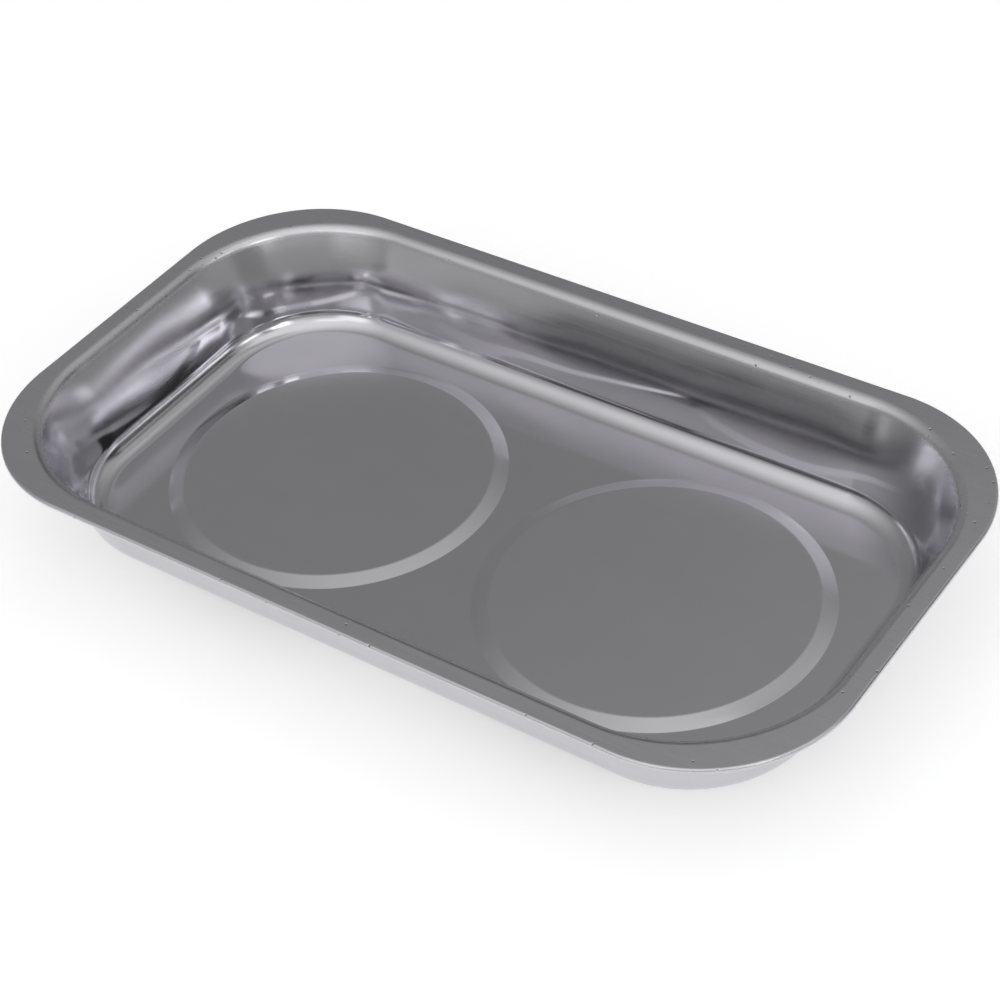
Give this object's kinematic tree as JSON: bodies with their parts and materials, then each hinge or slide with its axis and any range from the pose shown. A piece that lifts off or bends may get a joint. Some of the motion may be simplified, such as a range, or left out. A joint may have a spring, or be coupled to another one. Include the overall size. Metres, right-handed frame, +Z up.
{
  "type": "magnetic parts tray",
  "caption": "Rectangular stainless dish with a flat hemmed rim, leaning walls and raised circles in its floor, held to steel by ring magnets in rubber boots, for small loose parts.",
  "frame": {"origin": "middle of the footprint, on the surface that the rubber boots stand on", "axes": "+X along the tray's length, +Y across it, +Z up, out of the open side"},
  "size_m": [0.24, 0.14, 0.04],
  "materials": {
    "stainless_sheet": "bright satin stainless sheet",
    "zinc_plated_steel": "zinc plated, semi-bright",
    "ferrite": "fired and ground, matt",
    "black_rubber": "moulded, matt"
  },
  "bodies": {
    "root": {"dish": "stainless_sheet", "left_stud": "zinc_plated_steel", "left_spacer": "zinc_plated_steel", "left_magnet": "ferrite", "left_retainer": "zinc_plated_steel", "left_boot": "black_rubber", "left_washer": "zinc_plated_steel", "left_spring_washer": "zinc_plated_steel", "left_nut": "zinc_plated_steel", "right_stud": "zinc_plated_steel", "right_spacer": "zinc_plated_steel", "right_magnet": "ferrite", "right_retainer": "zinc_plated_steel", "right_boot": "black_rubber", "right_washer": "zinc_plated_steel", "right_spring_washer": "zinc_plated_steel", "right_nut": "zinc_plated_steel"}
  },
  "joints": []
}
